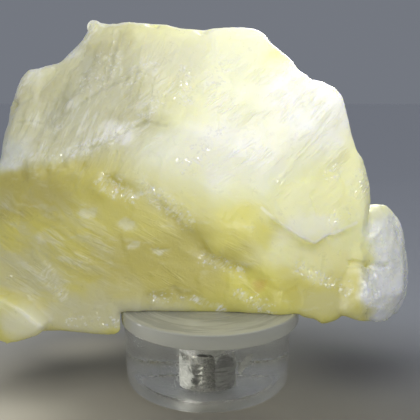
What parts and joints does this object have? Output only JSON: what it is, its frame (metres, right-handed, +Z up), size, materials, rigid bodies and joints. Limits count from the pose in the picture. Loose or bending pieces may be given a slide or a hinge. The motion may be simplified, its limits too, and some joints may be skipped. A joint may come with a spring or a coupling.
{
  "type": "angel wing calcite specimen on a stand",
  "caption": "Rough translucent yellow calcite specimen with a bladed, stepped face, resting on a small clear round acrylic stand with a steel insert inside.",
  "frame": {"origin": "middle of the clear base's flat underside, on the surface that the stand rests on", "axes": "+Z up, +X along the stone's width to the viewer's right, -Y towards the viewer"},
  "size_m": [0.0809, 0.0361, 0.0674],
  "materials": {
    "calcite": "translucent stone, waxy to glassy lustre, milky cream to olive yellow with a grey lobe",
    "clear_acrylic": "clear, polished",
    "steel": "turned, bright"
  },
  "bodies": {
    "root": {"calcite": "calcite", "stand_disc": "clear_acrylic", "stand_base": "clear_acrylic", "threaded_insert": "steel"}
  },
  "joints": []
}
